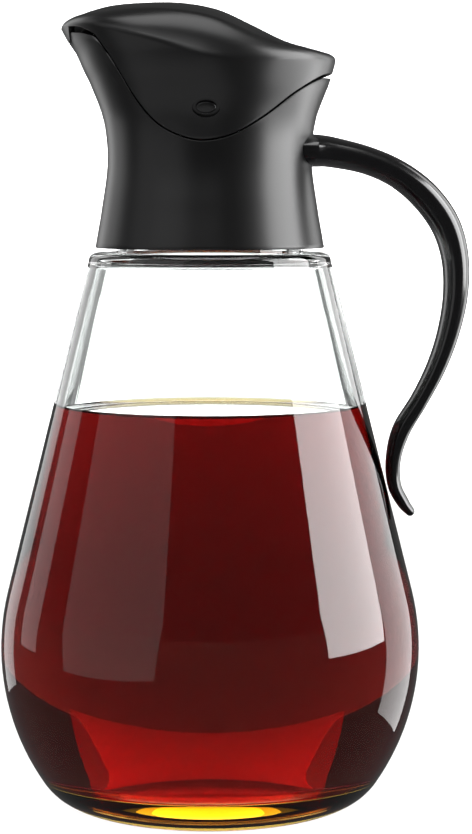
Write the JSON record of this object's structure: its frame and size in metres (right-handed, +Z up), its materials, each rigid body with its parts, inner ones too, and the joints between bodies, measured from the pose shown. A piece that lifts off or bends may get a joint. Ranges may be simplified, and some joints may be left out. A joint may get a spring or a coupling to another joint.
{
  "type": "syrup dispenser",
  "caption": "Pear-shaped clear glass pouring jar filled with dark syrup, with a waisted black collar and spout, a flip lid with a rear thumb lip, and an open hooked handle.",
  "frame": {"origin": "centre of the jar's flat base, on the jar's axis, where it stands on a table", "axes": "+Z up the jar's axis, +X from the axis towards the handle, so the spout points to -X; +Y away from a viewer who has the handle on the right"},
  "size_m": [0.1188, 0.1066, 0.2028],
  "materials": {
    "glass": "clear polished",
    "syrup": "dark red-brown clear liquid",
    "satin_black": "satin moulded",
    "gloss_black": "glossy moulded",
    "pin_steel": "drawn wire"
  },
  "bodies": {
    "jar": {"glass_jar": "glass", "syrup": "syrup", "collar": "satin_black", "handle": "gloss_black", "hinge_pin": "pin_steel"},
    "lid": {"lid": "satin_black", "snap_button_near": "satin_black", "snap_button_far": "satin_black"}
  },
  "joints": [
    {"name": "lid_hinge", "type": "hinge", "parent": "jar", "child": "lid", "pos_m": [0.0262, 0, 0.1839], "axis": [0, 1, 0], "range_deg": [0, 11]}
  ]
}
